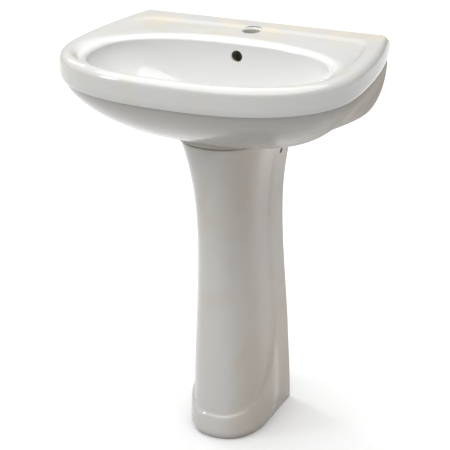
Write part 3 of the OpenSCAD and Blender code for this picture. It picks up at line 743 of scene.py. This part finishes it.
class Graph:
    """A short way to write a material's nodes."""

    def __init__(self, name):
        self.material = bpy.data.materials.new(name)
        self.material.use_nodes = True
        self.tree = self.material.node_tree
        self.shader = self.tree.nodes["Principled BSDF"]
        self.coords = self.tree.nodes.new("ShaderNodeTexCoord").outputs["Object"]

    def link(self, value, socket):
        if isinstance(value, (int, float)):
            socket.default_value = value
        elif isinstance(value, tuple):
            socket.default_value = value + (1.0,) if len(value) == 3 else value
        else:
            self.tree.links.new(value, socket)

    def noise(self, scale, detail=3.0, rough=0.5, distort=0.0, stretch=None):
        node = self.tree.nodes.new("ShaderNodeTexNoise")
        node.inputs["Scale"].default_value = scale
        node.inputs["Detail"].default_value = detail
        node.inputs["Roughness"].default_value = rough
        node.inputs["Distortion"].default_value = distort
        source = self.coords
        if stretch:
            place = self.tree.nodes.new("ShaderNodeMapping")
            place.inputs["Scale"].default_value = stretch
            self.tree.links.new(self.coords, place.inputs["Vector"])
            source = place.outputs["Vector"]
        self.tree.links.new(source, node.inputs["Vector"])
        return node.outputs["Fac"]

    def ramp(self, value, lo, hi, a=0.0, b=1.0):
        node = self.tree.nodes.new("ShaderNodeMapRange")
        node.interpolation_type = "SMOOTHSTEP"
        self.link(value, node.inputs["Value"])
        for key, v in (("From Min", lo), ("From Max", hi), ("To Min", a), ("To Max", b)):
            node.inputs[key].default_value = v
        return node.outputs["Result"]

    def blend(self, fac, a, b):
        node = self.tree.nodes.new("ShaderNodeMix")
        node.data_type = "RGBA"
        self.link(fac, node.inputs[0])
        self.link(a, node.inputs[6])
        self.link(b, node.inputs[7])
        return node.outputs[2]

    def math(self, how, a, b=0.0):
        node = self.tree.nodes.new("ShaderNodeMath")
        node.operation = how
        self.link(a, node.inputs[0])
        self.link(b, node.inputs[1])
        return node.outputs[0]

    def axis(self, which):
        node = self.tree.nodes.new("ShaderNodeSeparateXYZ")
        self.tree.links.new(self.coords, node.inputs[0])
        return node.outputs[which]

    def near(self, point, lo, hi):
        """1 within lo of a point, falling to 0 at hi."""
        node = self.tree.nodes.new("ShaderNodeVectorMath")
        node.operation = "DISTANCE"
        self.tree.links.new(self.coords, node.inputs[0])
        node.inputs[1].default_value = point
        return self.ramp(node.outputs["Value"], lo, hi, 1.0, 0.0)

    def bump(self, height, strength, distance, onto=None):
        node = self.tree.nodes.new("ShaderNodeBump")
        node.inputs["Strength"].default_value = strength
        node.inputs["Distance"].default_value = distance
        self.link(height, node.inputs["Height"])
        if onto is not None:
            self.tree.links.new(onto, node.inputs["Normal"])
        return node.outputs["Normal"]

    def finish(self, color, rough, normal, metallic=0.0):
        self.link(color, self.shader.inputs["Base Color"])
        self.link(rough, self.shader.inputs["Roughness"])
        self.link(metallic, self.shader.inputs["Metallic"])
        if normal is not None:
            self.tree.links.new(normal, self.shader.inputs["Normal"])
        return self.material


def in_bowl(g):
    """1 on the bowl's inside, 0 on the deck and the outside."""
    x = g.math("MULTIPLY", g.axis(0), 1 / 0.238)
    middle = g.ramp(g.axis(2), 0.69, 0.80, -0.0125, 0.045)
    y = g.math("MULTIPLY", g.math("ADD", g.axis(1), middle), 1 / 0.1405)
    far = g.math("SQRT", g.math("ADD", g.math("MULTIPLY", x, x), g.math("MULTIPLY", y, y)))
    reach = g.ramp(g.axis(2), 0.65, 0.78, 0.45, 1.12)
    return g.ramp(g.math("DIVIDE", far, reach), 0.95, 1.06, 1, 0)


def under_side(g, color, bowl):
    """Painted shade: greyer glaze under the roll, blending to a painted brown reflection towards
    the back, the wall side, and a painted shadow line in the step; the glaze is also duller there.
    """
    outside = g.math("SUBTRACT", 1.0, bowl)
    step = g.math("ADD", g.math("MULTIPLY", g.axis(1), 0.0337), 0.7875)
    above = g.math("SUBTRACT", g.axis(2), step)
    # Painted shade: the glaze under the roll is made greyer.
    painted_shade_under_roll = g.math("MULTIPLY", g.ramp(above, 0.001, -0.004), outside)
    # Painted reflection: the glaze under the roll turns brown towards the back.
    painted_reflection_mask = g.ramp(g.math("ADD", g.axis(1), g.math("MULTIPLY", g.noise(9.0), 0.06)), -0.10, 0.06)
    painted_shade_and_reflection = g.blend(painted_reflection_mask, (0.285, 0.275, 0.257), (0.275, 0.245, 0.208))
    color = g.blend(painted_shade_under_roll, color, painted_shade_and_reflection)
    # Painted shadow: a dark line along the step under the roll.
    line = g.ramp(g.math("ABSOLUTE", above), 0.0006, 0.003, 0.8, 0.0)
    color = g.blend(g.math("MULTIPLY", line, outside), color, (0.17, 0.15, 0.12))
    dull = g.math("MULTIPLY", painted_shade_under_roll, g.ramp(g.axis(1), -0.17, -0.03))
    g.link(g.math("SUBTRACT", 0.5, g.math("MULTIPLY", dull, 0.4)),
           g.shader.inputs["Specular IOR Level"])
    return color, dull


def glaze(name, base, cream, bare_axis, bare_lo, bare_hi):
    """Glazed china: cream tints, a slightly uneven glaze, and bare clay at one end of an axis; the
    basin and pedestal also get painted light, shade and reflection.
    """
    g = Graph(name)
    tint = g.ramp(g.noise(7.0, 2.0, 0.55, 0.6), 0.48, 0.72, 0.0, 0.75)
    color = g.blend(tint, base, cream)
    fleck = g.ramp(g.noise(420.0, 1.0), 0.77, 0.80, 0.0, 0.30)
    color = g.blend(fleck, color, (0.50, 0.45, 0.38))
    dull = 0.0
    if name == "china_pedestal":
        # Painted reflection: the column's right side is made browner.
        side = g.ramp(g.math("ADD", g.axis(0), g.math("MULTIPLY", g.noise(6.0), 0.06)), 0.05, 0.11)
        color = g.blend(g.math("MULTIPLY", side, 0.6), color, (0.33, 0.275, 0.215))
    if name == "china_basin":
        bowl = in_bowl(g)
        # Painted light: the bowl's inside is made lighter than the rest of the glaze.
        color = g.blend(bowl, color, (0.54, 0.54, 0.533))
        color, dull = under_side(g, color, bowl)
        back = g.ramp(g.axis(1), 0.06, 0.20, 0.0, 0.55)
        patch = g.ramp(g.noise(11.0, 3.0, 0.6), 0.42, 0.62)
        back = g.math("MULTIPLY", back, g.ramp(g.axis(2), 0.80, 0.815))
        color = g.blend(g.math("MULTIPLY", back, patch), color, (0.50, 0.45, 0.35))
        chip = g.near((0.2728, 0.2190, 0.8215), 0.0022, 0.0046)
        color = g.blend(g.math("MULTIPLY", chip, 0.85), color, (0.24, 0.15, 0.08))
        stain = g.near((0.0, 0.0885, 0.7835), 0.003, 0.016)
        streak = g.ramp(g.noise(60.0, 3.0, stretch=(1.0, 1.0, 0.15)), 0.45, 0.65)
        color = g.blend(g.math("MULTIPLY", g.math("MULTIPLY", stain, streak), 0.35), color,
                        (0.52, 0.45, 0.34))
        # Painted shade: the inside of the overflow hole is made dark.
        inside = g.math("MULTIPLY", g.ramp(g.axis(1), 0.0917, 0.0948),
                        g.near((0.0, 0.103, 0.797), 0.018, 0.021))
        color = g.blend(inside, color, (0.15, 0.135, 0.10))
    bare = g.ramp(g.axis(bare_axis), bare_lo, bare_hi)
    clay = g.blend(g.noise(90.0, 5.0), (0.60, 0.53, 0.43), (0.70, 0.65, 0.56))
    color = g.blend(bare, color, clay)
    rough = g.ramp(g.noise(26.0, 4.0), 0.3, 0.7, 0.055, 0.13)
    rough = g.math("MAXIMUM", rough, g.math("MULTIPLY", bare, 0.85))
    if name == "china_basin":
        rough = g.math("ADD", rough, g.math("MULTIPLY", dull, 0.35))
    normal = g.bump(g.noise(9.0, 1.5), 0.25, 0.004)
    normal = g.bump(g.noise(260.0, 2.0), 0.035, 0.0006, normal)
    return g.finish(color, rough, normal)


def metal(name, color, dark, rough_lo, rough_hi, brushed=None):
    g = Graph(name)
    spots = g.ramp(g.noise(140.0, 5.0, 0.6), 0.58, 0.74, 0.0, 0.35)
    tone = g.blend(g.ramp(g.noise(35.0, 3.0), 0.4, 0.7, 0.0, 0.25), color, dark)
    tone = g.blend(spots, tone, dark)
    grain = g.noise(500.0, 3.0, stretch=brushed or (1.0, 1.0, 1.0))
    rough = g.ramp(grain, 0.3, 0.7, rough_lo, rough_hi)
    normal = g.bump(grain, 0.06, 0.0003)
    return g.finish(tone, rough, normal, 1.0)


def rubber(name):
    g = Graph(name)
    tone = g.blend(g.noise(70.0, 4.0), (0.018, 0.018, 0.019), (0.045, 0.044, 0.042))
    dust = g.ramp(g.noise(230.0, 4.0), 0.6, 0.75, 0.0, 0.3)
    tone = g.blend(dust, tone, (0.20, 0.19, 0.17))
    return g.finish(tone, g.ramp(g.noise(90.0), 0.3, 0.7, 0.55, 0.8),
                    g.bump(g.noise(600.0, 3.0), 0.25, 0.0004))


def plastic(name):
    g = Graph(name)
    tone = g.blend(g.ramp(g.noise(18.0, 3.0), 0.4, 0.7), (0.80, 0.80, 0.78), (0.76, 0.745, 0.69))
    lime = g.ramp(g.noise(95.0, 5.0, 0.65), 0.60, 0.72, 0.0, 0.4)
    tone = g.blend(lime, tone, (0.62, 0.60, 0.54))
    return g.finish(tone, g.ramp(g.noise(120.0, 3.0), 0.3, 0.7, 0.22, 0.42),
                    g.bump(g.noise(700.0, 2.0), 0.08, 0.0003))


def sealant(name):
    g = Graph(name)
    tone = g.blend(g.ramp(g.noise(40.0, 4.0), 0.4, 0.7), (0.62, 0.60, 0.56), (0.46, 0.43, 0.38))
    return g.finish(tone, g.ramp(g.noise(80.0), 0.3, 0.7, 0.4, 0.65),
                    g.bump(g.noise(160.0, 3.0), 0.3, 0.0008))


def ground():
    g = Graph("floor")
    tone = g.blend(g.ramp(g.noise(1.2, 2.0), 0.35, 0.65), (0.60, 0.60, 0.60), (0.59, 0.59, 0.588))
    return g.finish(tone, 0.85, g.bump(g.noise(60.0, 2.0), 0.02, 0.001))


# ---------- stage ----------

def add_light(name, place, aim, width, depth, power, color=(1, 1, 1)):
    data = bpy.data.lights.new(name, "AREA")
    data.shape = "RECTANGLE"
    data.size, data.size_y, data.energy, data.color = width, depth, power, color
    lamp = bpy.data.objects.new(name, data)
    lamp.location = place
    lamp.rotation_euler = (Vector(aim) - Vector(place)).to_track_quat("-Z", "Y").to_euler()
    bpy.context.scene.collection.objects.link(lamp)


def add_sun(name, towards, strength, spread):
    data = bpy.data.lights.new(name, "SUN")
    data.energy, data.angle = strength, math.radians(spread)
    lamp = bpy.data.objects.new(name, data)
    lamp.rotation_euler = (-Vector(towards)).to_track_quat("-Z", "Y").to_euler()
    bpy.context.scene.collection.objects.link(lamp)


def set_stage():
    bpy.ops.mesh.primitive_plane_add(size=30, location=(0, 0, -0.0004))
    floor = bpy.context.object
    floor.name = "floor"
    floor.data.materials.append(ground())
    world = bpy.data.worlds.new("studio")
    world.use_nodes = True
    world.node_tree.nodes["Background"].inputs[0].default_value = (1.0, 0.995, 0.985, 1)
    world.node_tree.nodes["Background"].inputs[1].default_value = 0.15
    bpy.context.scene.world = world
    bpy.context.scene.view_settings.view_transform = "Standard"
    add_sun("overhead", (-0.03, -0.15, 1.0), 5.7, 90)
    add_light("front_window", (-2.7, -1.9, 2.6), (0, 0, 0.6), 0.5, 0.8, 22, (0.95, 0.975, 1.0))
    add_light("side_window", (-2.6, 1.2, 2.5), (0, 0, 0.7), 0.5, 0.7, 22, (0.95, 0.975, 1.0))
    add_light("ceiling_lamp", (-0.9, 0.3, 3.2), (0, 0, 0.7), 0.5, 0.2, 9, (1.0, 0.98, 0.95))


def set_camera():
    az, pitch, roll = math.radians(26.27), math.radians(23.18), math.radians(-1.05)
    forward = Vector((-math.sin(az) * math.cos(pitch), math.cos(az) * math.cos(pitch),
                      -math.sin(pitch)))
    right = Vector((math.cos(az), math.sin(az), 0))
    up = right.cross(forward)
    right2 = right * math.cos(roll) + up * math.sin(roll)
    up2 = -right * math.sin(roll) + up * math.cos(roll)
    data = bpy.data.cameras.new("camera")
    data.lens, data.sensor_width = 116.585, 36.0
    camera = bpy.data.objects.new("camera", data)
    frame_matrix = Matrix((right2, up2, -forward)).transposed().to_4x4()
    camera.matrix_world = Matrix.Translation((1.20539, -2.41711, 1.62583)) @ frame_matrix
    bpy.context.scene.collection.objects.link(camera)
    bpy.context.scene.camera = camera


def build_all():
    chrome = metal("chrome", (0.78, 0.79, 0.80), (0.55, 0.55, 0.54), 0.05, 0.14)
    steel = metal("steel", (0.62, 0.62, 0.61), (0.42, 0.41, 0.40), 0.22, 0.38, (1.0, 1.0, 8.0))
    brass = metal("brass", (0.72, 0.53, 0.22), (0.38, 0.28, 0.14), 0.25, 0.45)
    black, white = rubber("rubber"), plastic("plastic")
    build_basin(glaze("china_basin", (0.425, 0.423, 0.415), (0.42, 0.395, 0.33),
                      1, 0.2212, 0.2222))
    build_pedestal(glaze("china_pedestal", (0.41, 0.40, 0.385), (0.39, 0.355, 0.30),
                         2, 0.0015, 0.0006))
    build_seal(sealant("sealant"))
    build_waste(chrome)
    build_backnut(brass)
    build_plug(chrome, steel, black)
    build_cartridge(white)
    build_spring(steel)
    build_gaskets(black)
    build_inlet_nut(white)
    build_head(white)
    build_cup(white)
    build_dip_tube(white)
    build_outlet(white, black)


build_all()
set_stage()
set_camera()
